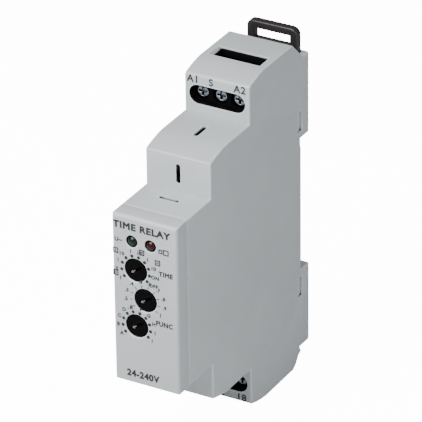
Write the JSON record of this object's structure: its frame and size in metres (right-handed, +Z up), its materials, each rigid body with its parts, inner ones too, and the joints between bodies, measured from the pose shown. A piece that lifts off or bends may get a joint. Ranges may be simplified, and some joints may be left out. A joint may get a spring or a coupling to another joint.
{
  "type": "din rail timer",
  "caption": "Stepped one-module rail-mounted timing relay with dial knobs, lamps, screw terminals above and below, and a sliding rail latch with a pull loop",
  "frame": {"origin": "on the rail seat, the flat rear face that rests on the front of the rail, at mid width and at the rail's centre height", "axes": "+X to the right seen from the front, +Y from the front face back into the wall, out of the rail seat, +Z up"},
  "size_m": [0.0176, 0.0653, 0.0913],
  "materials": {
    "housing": "fine texture",
    "cap": "fine texture",
    "latch": "satin",
    "spring_steel": "drawn wire",
    "knob": "satin",
    "rotor": "smooth",
    "black_moulding": "smooth",
    "lamp_green": "polished",
    "lamp_red": "polished",
    "terminal_block": "smooth",
    "screw": "zinc plated",
    "cage": "zinc plated",
    "strap": "tinned",
    "board": "solder mask",
    "relay_moulding": "smooth",
    "relay_case": "smooth",
    "relay_iron": "nickel plated",
    "winding": "enamelled wire",
    "contact": "silver faced",
    "capacitor_sleeve": "sleeve",
    "ferrite": "wound",
    "film_box": "moulded",
    "varistor_coat": "dipped",
    "resistor_coat": "cement coat",
    "chip": "moulded",
    "chip_part": "ceramic"
  },
  "bodies": {
    "case": {"housing_shell": "housing", "side_cover": "housing", "front_cap": "cap", "lamp_supply": "lamp_green", "lamp_output": "lamp_red", "upper_terminal_block": "terminal_block", "lower_terminal_block": "terminal_block", "latch_spring": "spring_steel", "switch_range": "black_moulding", "switch_time": "black_moulding", "switch_function": "black_moulding", "lamp_spacers": "black_moulding", "front_board": "board", "link_header": "black_moulding", "strap_a1": "strap", "strap_s": "strap", "strap_a2": "strap", "strap_15": "strap", "strap_16": "strap", "strap_18": "strap", "relay_base": "relay_moulding", "relay_case": "relay_case", "relay_yoke": "relay_iron", "relay_core": "relay_iron", "relay_bobbin": "relay_moulding", "relay_coil": "winding", "relay_fixed_contacts": "contact", "relay_pins": "contact", "main_board": "board", "smoothing_capacitor": "capacitor_sleeve", "output_capacitor": "capacitor_sleeve", "choke": "ferrite", "film_capacitor": "film_box", "varistor": "varistor_coat", "fusible_resistor": "resistor_coat", "microcontroller": "chip", "rectifier": "chip", "chip_parts": "chip_part"},
    "latch": {"rail_latch": "latch"},
    "dial_range": {"knob_range": "knob", "rotor_range": "rotor"},
    "dial_time": {"knob_time": "knob", "rotor_time": "rotor"},
    "dial_function": {"knob_function": "knob", "rotor_function": "rotor"},
    "screw_a1": {"screw_a1": "screw"},
    "cage_a1": {"cage_a1": "cage"},
    "screw_s": {"screw_s": "screw"},
    "cage_s": {"cage_s": "cage"},
    "screw_a2": {"screw_a2": "screw"},
    "cage_a2": {"cage_a2": "cage"},
    "screw_15": {"screw_15": "screw"},
    "cage_15": {"cage_15": "cage"},
    "screw_16": {"screw_16": "screw"},
    "cage_16": {"cage_16": "cage"},
    "screw_18": {"screw_18": "screw"},
    "cage_18": {"cage_18": "cage"},
    "armature": {"relay_armature": "relay_iron", "relay_card": "relay_moulding"},
    "blade": {"relay_blade": "contact"}
  },
  "joints": [
    {"name": "latch_slide", "type": "slide", "parent": "case", "child": "latch", "axis": [0, 0, 1], "range_m": [0, 0.003], "stiffness_N_per_m": 300, "springref_m": -0.004, "deforming": ["latch_spring"]},
    {"name": "range_turn", "type": "hinge", "parent": "case", "child": "dial_range", "pos_m": [-0.00245, -0.06, 0.00855], "axis": [0, 1, 0], "range_deg": [0, 250]},
    {"name": "time_turn", "type": "hinge", "parent": "case", "child": "dial_time", "pos_m": [0, -0.06, 0.00105], "axis": [0, 1, 0], "range_deg": [0, 250]},
    {"name": "function_turn", "type": "hinge", "parent": "case", "child": "dial_function", "pos_m": [-0.00245, -0.06, -0.00645], "axis": [0, 1, 0], "range_deg": [0, 250]},
    {"name": "cage_a1_rise", "type": "slide", "parent": "case", "child": "cage_a1", "axis": [0, -1, 0], "range_m": [0, 0.00225]},
    {"name": "screw_a1_turn", "type": "hinge", "parent": "case", "child": "screw_a1", "pos_m": [-0.005, -0.022, 0.0383], "axis": [0, 1, 0], "range_deg": [0, 1840]},
    {"name": "cage_s_rise", "type": "slide", "parent": "case", "child": "cage_s", "axis": [0, -1, 0], "range_m": [0, 0.00225]},
    {"name": "screw_s_turn", "type": "hinge", "parent": "case", "child": "screw_s", "pos_m": [0, -0.022, 0.0383], "axis": [0, 1, 0], "range_deg": [0, 1840]},
    {"name": "cage_a2_rise", "type": "slide", "parent": "case", "child": "cage_a2", "axis": [0, -1, 0], "range_m": [0, 0.00225]},
    {"name": "screw_a2_turn", "type": "hinge", "parent": "case", "child": "screw_a2", "pos_m": [0.005, -0.022, 0.0383], "axis": [0, 1, 0], "range_deg": [0, 1840]},
    {"name": "cage_15_rise", "type": "slide", "parent": "case", "child": "cage_15", "axis": [0, -1, 0], "range_m": [0, 0.00225]},
    {"name": "screw_15_turn", "type": "hinge", "parent": "case", "child": "screw_15", "pos_m": [-0.005, -0.022, -0.0383], "axis": [0, 1, 0], "range_deg": [0, 1840]},
    {"name": "cage_16_rise", "type": "slide", "parent": "case", "child": "cage_16", "axis": [0, -1, 0], "range_m": [0, 0.00225]},
    {"name": "screw_16_turn", "type": "hinge", "parent": "case", "child": "screw_16", "pos_m": [0, -0.022, -0.0383], "axis": [0, 1, 0], "range_deg": [0, 1840]},
    {"name": "cage_18_rise", "type": "slide", "parent": "case", "child": "cage_18", "axis": [0, -1, 0], "range_m": [0, 0.00225]},
    {"name": "screw_18_turn", "type": "hinge", "parent": "case", "child": "screw_18", "pos_m": [0.005, -0.022, -0.0383], "axis": [0, 1, 0], "range_deg": [0, 1840]},
    {"name": "armature_swing", "type": "hinge", "parent": "case", "child": "armature", "pos_m": [-0.00355, -0.0083, -0.014], "axis": [0, 1, 0], "range_deg": [0, 3.3], "stiffness_Nm_per_rad": 0.003, "springref_deg": -11.46},
    {"name": "blade_flex", "type": "hinge", "parent": "case", "child": "blade", "pos_m": [-0.00415, -0.0083, -0.00695], "axis": [0, 1, 0], "range_deg": [0, 3.1]}
  ],
  "couplings": [
    {"joint": "screw_a1_turn", "follows": "cage_a1_rise", "rad_per_m": 13963},
    {"joint": "screw_s_turn", "follows": "cage_s_rise", "rad_per_m": 13963},
    {"joint": "screw_a2_turn", "follows": "cage_a2_rise", "rad_per_m": 13963},
    {"joint": "screw_15_turn", "follows": "cage_15_rise", "rad_per_m": 13963},
    {"joint": "screw_16_turn", "follows": "cage_16_rise", "rad_per_m": 13963},
    {"joint": "screw_18_turn", "follows": "cage_18_rise", "rad_per_m": 13963},
    {"joint": "blade_flex", "follows": "armature_swing", "ratio": 0.929}
  ]
}
